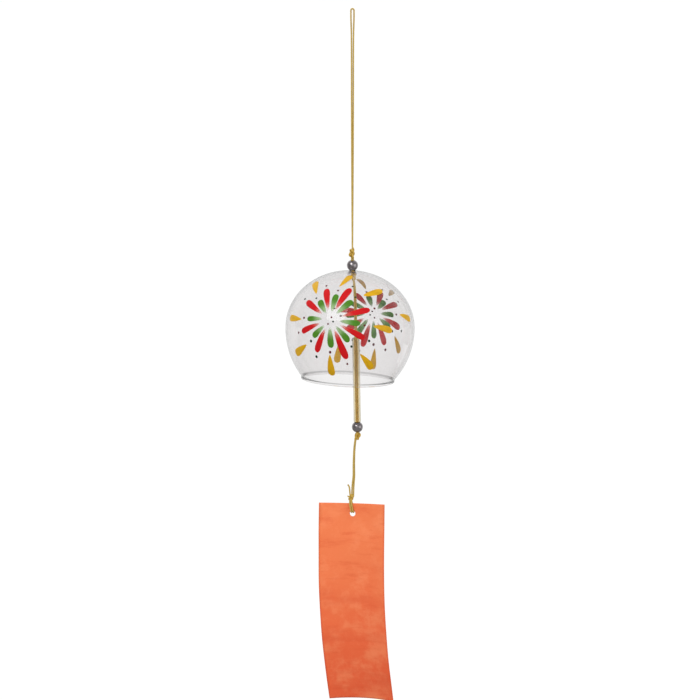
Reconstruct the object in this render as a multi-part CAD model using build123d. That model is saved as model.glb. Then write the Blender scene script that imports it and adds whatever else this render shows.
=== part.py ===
"""Furin: a small hanging glass wind bell on a doubled gold cord.

Millimetres, +Z up, +X to the right and -Y towards the viewer. The origin is
the inside top of the hanging loop, where the hook or line goes through.
"""

import os
from math import acos, cos, degrees, pi, radians, sin, sqrt, tan

from build123d import *

os.makedirs("parts", exist_ok=True)

# One overrun serves every cut, and one gap every place where a cord turns
over = 1.0
end_gap = 0.12

# The cord: one thin cord, used double all the way down
cord_d = 1.0
strand_gap = 0.08
run_share = 0.45

# The hanging loop: a hairpin over the hook, then two long straight strands
hook_r = 0.45
leg_length = 5.0
loop_length = 146.2
loop_foot_half = 0.65

# The overhand knots, drawn up tight: height, lean to the right, and turn
top_knot_h = 5.4
top_knot_lean = 0.0
top_knot_turn = 165.0
inner_knot_h = 4.4
inner_knot_lean = -9.0
inner_knot_turn = 15.0
lower_knot_h = 5.0
lower_knot_lean = 13.0
lower_knot_turn = 200.0
strip_knot_h = 4.2
strip_knot_lean = 16.0
strip_knot_turn = 160.0

# A knot's centre line and strand, as shares of its height
knot_strand_share = 0.1845
knot_lobe_share = 0.1406
knot_depth_share = 0.225
knot_shoulder_share = (-0.126, -0.225, 0.2673)
knot_end_share = (-0.2226, 0.2832, 0.68)
knot_set_share = 0.09
knot_half_turn = 1.9
knot_places = 10
knot_samples = 240

# Metal beads
bead_d = 6.9
bead_bore_d = 2.6
bead_gap = 0.1
top_bead_lift = 0.35

# The glass bell, measured along its own axis
bell_r = 40.0
crown_h = 35.5
skirt_h = 32.8
skirt_curve_h = 45.0
glass_wall = 1.2
crown_wall = 1.5
hole_d = 3.8
hole_edge_r = 0.35
lip_inset = 0.328
lip_h = 2.2
lip_wall = 1.6
lip_edge_r = 0.5
bell_tilt = 2.6
knot_seat_gap = 0.15
knot_to_rim = 8.2

# The clapper: a clear glass tube on the cord, standing on the lower bead
clapper_bend_out = 0.9
clapper_bend_drop = 4.3
clapper_lean = 0.98
bead_below_mouth = 29.4
tube_length = 52.6
tube_d = 4.5
tube_bore_d = 3.0
tube_edge_r = 0.25
clapper_twist_deg = (90.0, 62.0, 48.0)

# The cord down to the paper, from the lower knot's foot
strip_cord_route = (
    (0.0, 0.0),
    (-0.62, -3.2),
    (-0.95, -9.2),
    (-1.12, -16.2),
    (-0.98, -22.8),
    (-1.62, -27.8),
    (-1.88, -33.6),
)
strip_cord_twist_deg = (66.0, 64.0, 60.0, 54.0, 42.0, 20.0, 0.0)

# The paper strip as it lies flat, and its hole
strip_w = 42.6
strip_l = 129.0
strip_t = 0.35
strip_hole_d = 3.6
strip_hole_drop = 6.4
strip_curl_r = 95.0

# The way the paper hangs: at shares of its length, its lean, turn and roll
strip_station_share = (0.0, 0.12, 0.30, 0.48, 0.66, 0.83, 1.0)
strip_pitch_deg = (-6.0, -6.0, -2.5, 3.0, 9.5, 15.5, 20.0)
strip_yaw_deg = (-14.0, -14.0, -14.5, -15.0, -15.5, -16.0, -16.0)
strip_roll_deg = (0.0, 0.0, 0.4, 1.6, 2.2, 2.0, 1.4)
strip_steps = 60

# The loop through the paper's hole, and the cord's cut ends
foot_to_hole = 7.6
foot_to_hole_side = 1.35
loop_half_gap = 1.15
loop_spread = 0.62
loop_head_half = 0.78
tail_offset = 1.55
tail_rise = 6.2
tail_bend_rise = 2.6
tail_reach = 1.1
side_tail_reach = 2.6
side_tail_rise = 1.1

# Levels and places on the hanging line, worked out from the sizes above
pair_half = (cord_d + strand_gap) / 2
ball_drop = cord_d / 2 + end_gap
bight_r = hook_r + cord_d / 2
sway_z = -hook_r - leg_length
top_knot_z = -loop_length
neck_z = top_knot_z - top_knot_h - end_gap
rim_z = top_knot_z - top_knot_h - knot_to_rim
inner_knot_z = rim_z - crown_wall - knot_seat_gap
rock_z = inner_knot_z - inner_knot_h / 2
bead_r = bead_d / 2
bead_bore_r = bead_bore_d / 2
hole_r = hole_d / 2


def save(shape, node):
    """Writes one node as its own file."""
    shape.label = node
    export_step(shape, f"parts/{node}.step")


def cord_path(points):
    """Straight runs joined by tangent arcs, each as large as its runs allow."""
    places = [Vector(*p) for p in points]
    used = []
    for a, b, c in zip(places, places[1:], places[2:]):
        turn = radians((b - a).get_angle(c - b))
        shorter = min((b - a).length, (c - b).length)
        used.append(run_share * shorter / tan(turn / 2))
    if used:
        return Wire(FilletPolyline(*places, radius=used).edges()), used
    return Wire([Edge.make_line(places[0], places[1])]), used


def tube(points, diameter, name, first_ball=False, last_ball=False):
    """A cord's solid along its route, with its radii and its volume printed."""
    path, used = cord_path(points)
    start = Plane(origin=points[0], z_dir=Vector(*points[1]) - Vector(*points[0]))
    solid = sweep(start * Circle(diameter / 2), path=path)
    share = solid.volume / (pi * diameter**2 / 4 * path.length)
    radii = [round(r, 2) for r in used]
    print(f"{name}: {path.length:.1f} mm, radii {radii}, volume share {share:.4f}")
    if first_ball:
        solid = solid + Pos(*points[0]) * Sphere(diameter / 2)
    if last_ball:
        solid = solid + Pos(*points[-1]) * Sphere(diameter / 2)
    return solid


def strand(points, twist_deg, side):
    """One strand of a doubled cord, off the pair's centre line."""
    reach = side * pair_half
    return [
        (x + reach * cos(radians(a)), y + reach * sin(radians(a)), z)
        for (x, y, z), a in zip(points, twist_deg)
    ]


def pair(points, twist_deg, name, first_ball=False, last_ball=False):
    """Both strands of a doubled cord, as two solids side by side."""
    return [
        tube(strand(points, twist_deg, side), cord_d, name, first_ball, last_ball)
        for side in (-1, 1)
    ]


def foot_of(top_x, top_z, height, lean):
    """The place of a leaning knot's foot, below its head."""
    return top_x - height * tan(radians(lean)), top_z - height


def overhand(top_x, top_z, height, lean, turn, name):
    """An overhand knot with its head at the given place, leaning and turned.

    The centre line is the three-lobed knot of cos t - 2 cos 2t across and
    sin t + 2 sin 2t up, opened at one lobe. It never touches itself, and its
    two ends are cut level at its head and its foot.
    """
    middle = []
    for i in range(knot_places):
        t = knot_half_turn * (1 - 2 * i / (knot_places - 1))
        across = cos(t) - 2 * cos(2 * t)
        up = -sin(t) - 2 * sin(2 * t)
        lobe = height * knot_lobe_share
        middle.append((across * lobe, -sin(3 * t) * height * knot_depth_share, up * lobe))
    shoulder = [share * height for share in knot_shoulder_share]
    end = [share * height for share in knot_end_share]
    upper = [tuple(end), tuple(shoulder)]
    lower = [(x, -y, -z) for x, y, z in reversed(upper)]
    points = upper + middle + lower
    thick = height * knot_strand_share
    path, _ = cord_path(points)
    spots = [path.position_at(i / knot_samples) for i in range(knot_samples + 1)]
    step = path.length / knot_samples
    apart = min(
        (a - b).length
        for i, a in enumerate(spots)
        for j, b in enumerate(spots)
        if (j - i) * step > 2 * thick
    )
    print(f"{name}: least gap to itself {apart - thick:.2f} mm")
    foot_x, foot_z = foot_of(top_x, top_z, height, lean)
    middle_frame = Pos((top_x + foot_x) / 2, 0, (top_z + foot_z) / 2) * Rot(0, lean, 0)
    knot = middle_frame * Rot(0, 0, turn) * Pos(height * knot_set_share, 0, 0) * tube(points, thick, name)
    knot = split(knot, bisect_by=Plane(origin=(0, 0, top_z)), keep=Keep.BOTTOM)
    return split(knot, bisect_by=Plane(origin=(0, 0, foot_z)), keep=Keep.TOP)


# The hook's hairpin: two short legs and a half turn over the hook
leg_end = sway_z + ball_drop
crest = Wire(
    [
        Edge.make_line((-bight_r, 0, leg_end), (-bight_r, 0, -hook_r)),
        Edge.make_three_point_arc(
            (-bight_r, 0, -hook_r), (0, 0, bight_r - hook_r), (bight_r, 0, -hook_r)
        ),
        Edge.make_line((bight_r, 0, -hook_r), (bight_r, 0, leg_end)),
    ]
)
bight_section = Plane(origin=(-bight_r, 0, leg_end), z_dir=(0, 0, 1)) * Circle(cord_d / 2)
cord_bight = sweep(bight_section, path=crest)
print(f"cord_bight: {crest.length:.1f} mm, radius {bight_r:.2f}")
save(cord_bight, "cord_bight")

# The two long strands cross a quarter turn on the way down to the knot
hanging = [
    tube(
        [(side * bight_r, 0, sway_z), (0, side * loop_foot_half, top_knot_z)],
        cord_d,
        "hanging_cord",
        first_ball=True,
    )
    for side in (-1, 1)
]
save(Compound(children=hanging), "hanging_cord")

top_knot = overhand(0, top_knot_z, top_knot_h, top_knot_lean, top_knot_turn, "top_knot")
save(top_knot, "top_knot")

# The neck: straight down through the top bead and the hole in the glass
neck_twist_deg = (20.0, 0.0)
neck = pair([(0, 0, neck_z), (0, 0, inner_knot_z)], neck_twist_deg, "neck_cord")
save(Compound(children=neck), "neck_cord")

inner_knot = overhand(
    0, inner_knot_z, inner_knot_h, inner_knot_lean, inner_knot_turn, "inner_knot"
)
save(inner_knot, "inner_knot")


def bead():
    """A round metal bead, bored for the doubled cord."""
    return Sphere(bead_r) - Cylinder(bead_bore_r, bead_d + over)


top_bead_z = rim_z + sqrt(bead_r**2 - hole_r**2) + top_bead_lift
save(Pos(0, 0, top_bead_z) * bead(), "top_bead")

# The glass, on its own axis with the top of its rim at zero
equator = -crown_h
mouth = equator - skirt_h
lip_top = mouth + lip_h
outer_lip_r = bell_r * sqrt(1 - ((equator - lip_top) / skirt_curve_h) ** 2)
lip_r = outer_lip_r - lip_inset
inner_r = bell_r - glass_wall
inner_crown_h = crown_h - crown_wall
inner_lip_r = lip_r - lip_wall
inner_drop = (skirt_h - lip_h / 2) / sqrt(1 - (inner_lip_r / inner_r) ** 2)


def on_ellipse(r, across, up):
    """How far above its centre an ellipse is, at a distance from its axis."""
    return up * sqrt(1 - (r / across) ** 2)


hole_top = equator + on_ellipse(hole_r, bell_r, crown_h)
hole_foot = equator + on_ellipse(hole_r, inner_r, inner_crown_h)


def arc(across, up, r_one, r_other, side):
    """An arc of the glass's section, above the widest place or below it."""
    plane = Plane(origin=(0, 0, equator), x_dir=(1, 0, 0), z_dir=(0, -1, 0))
    low, high = sorted(side * degrees(acos(r / across)) for r in (r_one, r_other))
    return Edge.make_ellipse(across, up, plane, high, low, AngularDirection.CLOCKWISE)


def corner_line(*places):
    """Straight edges of the section through the given distances and heights."""
    spots = [(r, 0, z) for r, z in places]
    return [Edge.make_line(a, b) for a, b in zip(spots, spots[1:])]


outline = [
    *corner_line((hole_r, hole_foot), (hole_r, hole_top)),
    arc(bell_r, crown_h, hole_r, bell_r, 1),
    arc(bell_r, skirt_curve_h, bell_r, outer_lip_r, -1),
    *corner_line(
        (outer_lip_r, lip_top),
        (lip_r, lip_top - lip_h / 4),
        (lip_r, mouth),
        (inner_lip_r, mouth),
        (inner_lip_r, mouth + lip_h / 2),
    ),
    arc(inner_r, inner_drop, inner_lip_r, inner_r, -1),
    arc(inner_r, inner_crown_h, inner_r, hole_r, 1),
]
glass = revolve(Face(Wire(outline)), Axis.Z)
rings = glass.edges().filter_by(GeomType.CIRCLE)
glass = fillet([e for e in rings if abs(e.radius - hole_r) < end_gap], hole_edge_r)
rings = glass.edges().filter_by(GeomType.CIRCLE)
glass = fillet([e for e in rings if abs(e.center().Z - mouth) < end_gap], lip_edge_r)
crown_rise = rim_z - rock_z
bell_frame = Pos(0, 0, rock_z) * Rot(0, bell_tilt, 0) * Pos(0, 0, crown_rise)
glass_bell = bell_frame * glass
save(glass_bell, "glass_bell")
print("glass", glass_bell.volume, glass_bell.bounding_box())

# The clapper's own line: a short bend under the knot, then straight and leaning
inner_foot_x, inner_foot_z = foot_of(0, inner_knot_z, inner_knot_h, inner_knot_lean)
clapper_top = (inner_foot_x, 0, inner_foot_z - ball_drop)
clapper_bend = (clapper_top[0] + clapper_bend_out, 0, clapper_top[2] - clapper_bend_drop)
lower_bead_z = rim_z + mouth - bead_below_mouth
slope = tan(radians(clapper_lean))


def on_line(z):
    """A place on the clapper's straight line, at a height."""
    return clapper_bend[0] + (clapper_bend[2] - z) * slope, 0, z


def along_line(z):
    """The clapper's frame at a height: its own Z runs up the line."""
    return Pos(*on_line(z)) * Rot(0, -clapper_lean, 0)


bead_cap = sqrt(bead_r**2 - bead_bore_r**2)
lower_knot_z = lower_bead_z - bead_cap - bead_gap
clapper_route = [clapper_top, clapper_bend, on_line(lower_knot_z)]
clapper = pair(clapper_route, clapper_twist_deg, "clapper_cord", first_ball=True)
save(Compound(children=clapper), "clapper_cord")

save(along_line(lower_bead_z) * bead(), "lower_bead")

tube_foot_z = lower_bead_z + sqrt(bead_r**2 - (tube_bore_d / 2) ** 2) + bead_gap
glass_tube = Cylinder(tube_d / 2, tube_length) - Cylinder(tube_bore_d / 2, tube_length + over)
ends = glass_tube.edges().filter_by(GeomType.CIRCLE)
glass_tube = fillet(ends, tube_edge_r)
glass_tube = along_line(tube_foot_z) * Pos(0, 0, tube_length / 2) * glass_tube
save(glass_tube, "clapper_tube")

lower_knot_x = on_line(lower_knot_z)[0]
lower_knot = overhand(
    lower_knot_x, lower_knot_z, lower_knot_h, lower_knot_lean, lower_knot_turn, "lower_knot"
)
save(lower_knot, "lower_knot")

# The cord to the paper, gently waved because the paper is so light
lower_foot_x, lower_foot_z = foot_of(lower_knot_x, lower_knot_z, lower_knot_h, lower_knot_lean)
cord_head_z = lower_foot_z - 2 * end_gap
strip_cord_points = [
    (lower_foot_x + dx, 0, cord_head_z + dz) for dx, dz in strip_cord_route
]
strip_cord = pair(strip_cord_points, strip_cord_twist_deg, "strip_cord", last_ball=True)
save(Compound(children=strip_cord), "strip_cord")

swing_x, _, swing_z = strip_cord_points[-1]
strip_knot_z = swing_z - ball_drop
strip_knot = overhand(
    swing_x, strip_knot_z, strip_knot_h, strip_knot_lean, strip_knot_turn, "strip_knot"
)
save(strip_knot, "strip_knot")
strip_foot_x, strip_foot_z = foot_of(swing_x, strip_knot_z, strip_knot_h, strip_knot_lean)

# The paper's middle line, from its hole up to its head and down to its foot
foot = Vector(strip_foot_x, 0, strip_foot_z)


def at_share(table, share):
    """A value from a table of stations, between its two nearest ones."""
    for s0, s1, v0, v1 in zip(strip_station_share, strip_station_share[1:], table, table[1:]):
        if share <= s1:
            return v0 + (v1 - v0) * (share - s0) / (s1 - s0)
    return table[-1]


def directions(share):
    """The paper's directions down its length and across it to the right."""
    pitch = radians(at_share(strip_pitch_deg, share))
    yaw = radians(at_share(strip_yaw_deg, share))
    roll = radians(at_share(strip_roll_deg, share))
    down = Vector(-sin(yaw) * sin(pitch), cos(yaw) * sin(pitch), -cos(pitch))
    across = Vector(cos(yaw), sin(yaw), 0)
    return down * cos(roll) + across * sin(roll), across * cos(roll) - down * sin(roll)


def middle_line():
    """Places down the middle of the paper, even steps apart."""
    step = strip_l / strip_steps
    spots = [Vector(0, 0, 0)]
    for i in range(strip_steps):
        spots.append(spots[-1] + directions((i + 0.5) / strip_steps)[0] * step)
    share = strip_hole_drop / strip_l * strip_steps
    low = int(share)
    hole = spots[low] + (spots[low + 1] - spots[low]) * (share - low)
    down, across = directions(strip_hole_drop / strip_l)
    place = foot + down * foot_to_hole + across * foot_to_hole_side
    return [spot - hole + place for spot in spots]


middle = middle_line()


def paper_frame(share):
    """The paper's frame at a share of its length: X across, Z up it, Y behind."""
    here = share * strip_steps
    low = min(int(here), strip_steps - 1)
    spot = middle[low] + (middle[low + 1] - middle[low]) * (here - low)
    down, across = directions(share)
    return Plane(origin=spot, x_dir=across, z_dir=down * -1)


def paper_section(share):
    """A curled slice across the paper, its edges nearer the viewer."""
    half = strip_w / 2 / strip_curl_r
    near, far = strip_curl_r - strip_t / 2, strip_curl_r + strip_t / 2
    frame = paper_frame(share)
    back = frame.z_dir.cross(frame.x_dir)

    def place(r, angle):
        return frame.origin + frame.x_dir * (r * sin(angle)) + back * (r * cos(angle) - strip_curl_r)

    wire = Wire(
        [
            Edge.make_three_point_arc(place(near, -half), place(near, 0), place(near, half)),
            Edge.make_line(place(near, half), place(far, half)),
            Edge.make_three_point_arc(place(far, half), place(far, 0), place(far, -half)),
            Edge.make_line(place(far, -half), place(near, -half)),
        ]
    )
    return Face(wire)


paper = loft([paper_section(share) for share in strip_station_share])
hole_frame = paper_frame(strip_hole_drop / strip_l)
normal = hole_frame.z_dir.cross(hole_frame.x_dir)
hole_plane = Plane(origin=hole_frame.origin, x_dir=hole_frame.x_dir, z_dir=normal)
paper = paper - hole_plane * Cylinder(strip_hole_d / 2, strip_curl_r / 10 + over)
save(paper, "paper_strip")

# The loop: both strands go in front, through the hole and up behind the paper
strip_hole_r = strip_hole_d / 2
seat = strip_hole_r - cord_d / 2 - strand_gap
seat_rise = sqrt(seat**2 - loop_spread**2)
up_paper = hole_frame.z_dir
loops = []
for side in (-1, 1):
    through = hole_frame.origin + hole_frame.x_dir * (side * loop_spread) + up_paper * seat_rise
    head = foot + hole_frame.x_dir * (side * pair_half) + up_paper * end_gap
    lead = [
        head - normal * loop_head_half,
        through - normal * loop_half_gap,
        through + normal * loop_half_gap,
        head + normal * loop_head_half,
    ]
    turn = tube([tuple(p) for p in lead], cord_d, "strip_loop")
    loops.append(split(turn, bisect_by=Plane(origin=foot), keep=Keep.BOTTOM))
save(Compound(children=loops), "strip_loop")

# The cut ends: one beside the cord, one out to the left
knot_mid_x, knot_mid_z = (swing_x + strip_foot_x) / 2, (strip_knot_z + strip_foot_z) / 2
tail_x = swing_x - tail_offset
long_tail = tube(
    [
        (tail_x, 0, knot_mid_z),
        (tail_x - tail_reach / 4, 0, strip_knot_z + tail_rise - tail_bend_rise),
        (tail_x - tail_reach, 0, strip_knot_z + tail_rise),
    ],
    cord_d,
    "cord_tails",
)
side_tail = tube(
    [
        (knot_mid_x, 0, knot_mid_z),
        (knot_mid_x - side_tail_reach, 0, knot_mid_z + side_tail_rise),
    ],
    cord_d,
    "cord_tails",
)
tails = [long_tail - strip_knot, side_tail - strip_knot]
save(Compound(children=[max(t.solids(), key=lambda s: s.volume) for t in tails]), "cord_tails")

for name, value in (
    ("sway", (0, 0, sway_z)),
    ("neck turn", (0, 0, neck_z)),
    ("rock", (0, 0, rock_z)),
    ("clapper", clapper_top),
    ("lower bead", on_line(lower_bead_z)),
    ("strip turn", strip_cord_points[0]),
    ("strip swing", (swing_x, 0, swing_z)),
    ("hole", tuple(hole_frame.origin)),
    ("hole normal", tuple(normal)),
):
    print(name, [round(float(v), 4) for v in value])
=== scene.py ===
"""The looks of a furin: a small hanging glass wind bell on a doubled gold cord.

Everything is in metres, +Z up, -Y towards the viewer, with the origin at the
inside top of the hanging loop.
"""

from __future__ import annotations

import logging
import math
import random
from dataclasses import dataclass, field
from enum import Enum
from typing import Any, Callable, Iterable, Sequence

import bmesh
import bpy
from mathutils import Matrix, Vector

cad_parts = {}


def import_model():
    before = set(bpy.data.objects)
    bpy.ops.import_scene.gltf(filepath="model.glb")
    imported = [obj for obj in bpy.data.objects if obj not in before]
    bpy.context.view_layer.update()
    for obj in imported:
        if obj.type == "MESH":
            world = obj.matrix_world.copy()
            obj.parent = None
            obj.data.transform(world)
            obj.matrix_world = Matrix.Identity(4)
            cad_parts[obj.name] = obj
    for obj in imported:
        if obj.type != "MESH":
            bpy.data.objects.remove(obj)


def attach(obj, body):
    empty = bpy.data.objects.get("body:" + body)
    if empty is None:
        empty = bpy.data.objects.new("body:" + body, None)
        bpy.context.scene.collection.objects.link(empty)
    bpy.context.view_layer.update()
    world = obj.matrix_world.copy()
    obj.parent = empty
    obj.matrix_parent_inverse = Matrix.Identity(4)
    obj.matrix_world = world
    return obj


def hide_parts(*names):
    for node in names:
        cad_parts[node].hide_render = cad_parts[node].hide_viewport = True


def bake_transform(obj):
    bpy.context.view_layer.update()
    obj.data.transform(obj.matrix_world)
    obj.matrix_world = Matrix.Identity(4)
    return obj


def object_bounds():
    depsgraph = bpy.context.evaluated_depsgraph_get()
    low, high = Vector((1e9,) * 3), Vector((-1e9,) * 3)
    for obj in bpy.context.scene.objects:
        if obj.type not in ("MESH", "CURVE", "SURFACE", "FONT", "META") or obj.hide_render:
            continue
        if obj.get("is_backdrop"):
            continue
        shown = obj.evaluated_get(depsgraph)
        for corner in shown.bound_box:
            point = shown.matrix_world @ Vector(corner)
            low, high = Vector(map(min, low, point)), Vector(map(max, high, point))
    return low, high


log = logging.getLogger("furin")

MM = 0.001
SEAM = 2e-7
WELD = 1e-7
SPLINE_STEPS = 24
WHITE = (1.0, 1.0, 1.0, 1.0)

Place = tuple[float, float, float]
Colour = tuple[float, float, float, float]
Route = Sequence[Sequence[float]]
Profile = list[tuple[float, float]]
Sockets = dict[Any, Any]
Piece = bpy.types.Object
Finish = bpy.types.Material
Socket = bpy.types.NodeSocket


def mm(*values: float) -> Place:
    """A place or a set of sizes given in millimetres, in metres."""
    return tuple(value * MM for value in values)


def rgb(red: float, green: float, blue: float) -> Colour:
    """An opaque linear colour."""
    return (red, green, blue, 1.0)


# ---------------------------------------------------------------- node graphs


class Value:
    """A number socket of a node tree that takes part in arithmetic."""

    def __init__(self, graph: Graph, socket: Socket) -> None:
        """Keeps the tree and the socket."""
        self.graph = graph
        self.socket = socket

    def _maths(self, operation: str, *terms: Any) -> Value:
        """One Math node over numbers or values, in the order of its sockets."""
        return self.graph.value("ShaderNodeMath", 0, dict(enumerate(terms)), operation=operation)

    def __add__(self, other: Any) -> Value:
        """Sum."""
        return self._maths("ADD", self, other)

    __radd__ = __add__

    def __sub__(self, other: Any) -> Value:
        """Difference."""
        return self._maths("SUBTRACT", self, other)

    def __rsub__(self, other: Any) -> Value:
        """Difference from a number."""
        return self._maths("SUBTRACT", other, self)

    def __mul__(self, other: Any) -> Value:
        """Product."""
        return self._maths("MULTIPLY", self, other)

    __rmul__ = __mul__

    def __truediv__(self, other: Any) -> Value:
        """Quotient."""
        return self._maths("DIVIDE", self, other)

    def __pow__(self, other: Any) -> Value:
        """Power."""
        return self._maths("POWER", self, other)

    def __mod__(self, other: Any) -> Value:
        """Remainder, never below zero."""
        return self._maths("FLOORED_MODULO", self, other)

    def __gt__(self, other: Any) -> Value:
        """One where it is greater, else zero."""
        return self._maths("GREATER_THAN", self, other)

    def sin(self) -> Value:
        """Sine of an angle in radians."""
        return self._maths("SINE", self)

    def cos(self) -> Value:
        """Cosine of an angle in radians."""
        return self._maths("COSINE", self)

    def root(self) -> Value:
        """Square root."""
        return self._maths("SQRT", self)

    def floor(self) -> Value:
        """The whole number below."""
        return self._maths("FLOOR", self)

    def size(self) -> Value:
        """Absolute value."""
        return self._maths("ABSOLUTE", self)

    def at_least(self, other: Any) -> Value:
        """The greater of two."""
        return self._maths("MAXIMUM", self, other)

    def angle_over(self, other: Any) -> Value:
        """The angle whose tangent is this over the other."""
        return self._maths("ARCTAN2", self, other)

    def ramp(self, low: float, high: float) -> Value:
        """A smooth step from 0 at low to 1 at high."""
        sockets = {"Value": self, "From Min": low, "From Max": high}
        return self.graph.value("ShaderNodeMapRange", 0, sockets, interpolation_type="SMOOTHSTEP")


class Graph:
    """A node tree, the one method that adds nodes to it and what is built on that."""

    def __init__(self, tree: bpy.types.NodeTree) -> None:
        """Keeps the tree."""
        self.tree = tree

    def join(self, node: bpy.types.Node, sockets: Sockets) -> None:
        """Sets or links inputs of a node, by name or index.

        Args:
            node: the node.
            sockets: numbers, tuples, data or links.
        """
        for key, given in sockets.items():
            given = given.socket if isinstance(given, Value) else given
            if isinstance(given, Socket):
                self.tree.links.new(given, node.inputs[key])
            else:
                node.inputs[key].default_value = given

    def node(self, kind: str, sockets: Sockets | None = None, **settings: Any) -> bpy.types.Node:
        """Adds a node.

        Args:
            kind: the node's type name.
            sockets: numbers, tuples, data or links, by input name or index.
            settings: its own settings, made first.

        Returns:
            The new node.
        """
        node = self.tree.nodes.new(kind)
        for name, setting in settings.items():
            setattr(node, name, setting)
        self.join(node, sockets or {})
        return node

    def out(self, kind: str, sockets: Sockets | None = None, **settings: Any) -> Socket:
        """Adds a node and returns its first output."""
        return self.node(kind, sockets, **settings).outputs[0]

    def value(
        self, kind: str, output: Any = 0, sockets: Sockets | None = None, **settings: Any
    ) -> Value:
        """Adds a node and returns one of its outputs as a value."""
        return Value(self, self.node(kind, sockets, **settings).outputs[output])

    def parts(self, vector: Any) -> tuple[Value, Value, Value]:
        """The three numbers of a vector."""
        node = self.node("ShaderNodeSeparateXYZ", {0: vector})
        return tuple(Value(self, out) for out in node.outputs)

    def vector(self, x: Any, y: Any, z: Any) -> Socket:
        """A vector of three numbers."""
        return self.out("ShaderNodeCombineXYZ", {0: x, 1: y, 2: z})

    def noise(self, at: Any, scale: float, detail: float = 2.0, rough: float = 0.5) -> Value:
        """Fractal noise about one half.

        Args:
            at: where it is read: a vector, or its three numbers.
            scale: its waves per unit.
            detail: its octaves.
            rough: how strong each octave is against the last.

        Returns:
            Its value.
        """
        at = self.vector(*at) if isinstance(at, tuple) else at
        sockets = {"Vector": at, "Scale": scale, "Detail": detail, "Roughness": rough}
        return self.value("ShaderNodeTexNoise", 0, sockets)

    def blend(self, share: Any, first: Any, second: Any) -> Socket:
        """One colour going over to another by a share."""
        sockets = {0: share, 6: first, 7: second}
        return self.node("ShaderNodeMix", sockets, data_type="RGBA").outputs[2]

    def bump(self, strength: float, distance: float, height: Value) -> Socket:
        """A normal that leans with a height."""
        sockets = {"Strength": strength, "Distance": distance, "Height": height}
        return self.out("ShaderNodeBump", sockets)

    def carried(self, name: str) -> Value:
        """A number that the mesh carries, for a material."""
        return self.value("ShaderNodeAttribute", "Fac", attribute_name=name)

    def ray(self, fact: str) -> Value:
        """A fact about the ray that is being followed."""
        return self.value("ShaderNodeLightPath", fact)

    def own_place(self) -> Socket:
        """Where a point is on its own object."""
        return self.node("ShaderNodeTexCoord").outputs["Object"]

    def marked(self, shape: Any, name: str, number: Any) -> Socket:
        """A geometry whose points carry a number.

        Args:
            shape: the geometry.
            name: the number's name.
            number: the number, or what works it out.

        Returns:
            The geometry that carries it.
        """
        sockets = {"Geometry": shape, "Name": name, "Value": number}
        return self.out(
            "GeometryNodeStoreNamedAttribute", sockets, data_type="FLOAT", domain="POINT"
        )

    def moved(self, shape: Any, place: Socket) -> Socket:
        """A geometry whose points stand elsewhere."""
        return self.out("GeometryNodeSetPosition", {"Geometry": shape, "Position": place})

    def smooth(self, shape: Any) -> Socket:
        """A geometry that is shaded smooth."""
        return self.out("GeometryNodeSetShadeSmooth", {"Geometry": shape})


def cleared(holder: bpy.types.Material | bpy.types.World) -> Graph:
    """The emptied node tree of a material or of the world.

    Args:
        holder: what holds the tree.

    Returns:
        The tree's graph.
    """
    holder.use_nodes = True
    holder.node_tree.nodes.clear()
    return Graph(holder.node_tree)


def shader(name: str) -> tuple[Finish, Graph, bpy.types.Node]:
    """A new material with one Principled shader.

    Args:
        name: the material's name.

    Returns:
        The material, its graph and its Principled node.
    """
    material = bpy.data.materials.new(name)
    graph = cleared(material)
    surface = graph.node("ShaderNodeBsdfPrincipled")
    graph.node("ShaderNodeOutputMaterial", {"Surface": surface.outputs[0]})
    return material, graph, surface


# ------------------------------------------------------------------- finishes


@dataclass(frozen=True)
class GoldThread:
    """Satin twisted thread of old gold."""

    name: str = "gold_thread"
    light: Colour = rgb(0.67, 0.46, 0.105)
    middle: Colour = rgb(0.47, 0.31, 0.05)
    painted_groove_shade: Colour = rgb(0.17, 0.115, 0.02)
    fibres_around: float = 7.0
    fibres_along: float = 900.0
    roughness: float = 0.30
    relief: float = 0.06 * MM

    def material(self) -> Finish:
        """The cord's material, which reads where it is along and around the thread.

        Returns:
            The material.
        """
        material, graph, surface = shader(self.name)
        run, around, groove = (graph.carried(name) for name in ("run", "around", "groove"))
        ring = self.fibres_around
        fibres = graph.noise(
            (around.cos() * ring, around.sin() * ring, run * self.fibres_along), 1.0, 3.0, 0.6
        )
        patches = graph.noise(graph.own_place(), 260.0, 2.0)
        tone = fibres * 0.7 + patches * 0.3
        colour = graph.blend(tone.ramp(0.36, 0.66), self.middle, self.light)
        # Painted shade: the grooves between the plies are darkened towards the dark colour.
        colour = graph.blend(groove.ramp(0.35, 1.0) * 0.75, colour, self.painted_groove_shade)
        graph.join(surface, {
            "Base Color": colour,
            "Roughness": fibres * 0.25 + self.roughness,
            "Specular IOR Level": 0.4,
            "Normal": graph.bump(0.35, self.relief, fibres),
        })
        return material


@dataclass(frozen=True)
class DarkSilver:
    """Polished metal of a dark silver colour, with a few fine wear marks."""

    colour: Colour = rgb(0.37, 0.34, 0.35)
    tarnish: Colour = rgb(0.25, 0.22, 0.225)
    scratches: Place = (3000, 500, 9000)
    relief: float = 0.02 * MM

    def material(self) -> Finish:
        """The beads' material.

        Returns:
            The material.
        """
        material, graph, surface = shader("dark_silver")
        place = graph.own_place()
        cloud = graph.noise(place, 420.0, 4.0, 0.6)
        drawn = graph.out("ShaderNodeMapping", {"Vector": place, "Scale": self.scratches})
        graph.join(surface, {
            "Base Color": graph.blend(cloud.ramp(0.45, 0.8), self.colour, self.tarnish),
            "Metallic": 1.0,
            "Roughness": cloud * 0.10 + 0.07,
            "Normal": graph.bump(0.04, self.relief, graph.noise(drawn, 1.0, 1.0)),
        })
        return material


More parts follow.
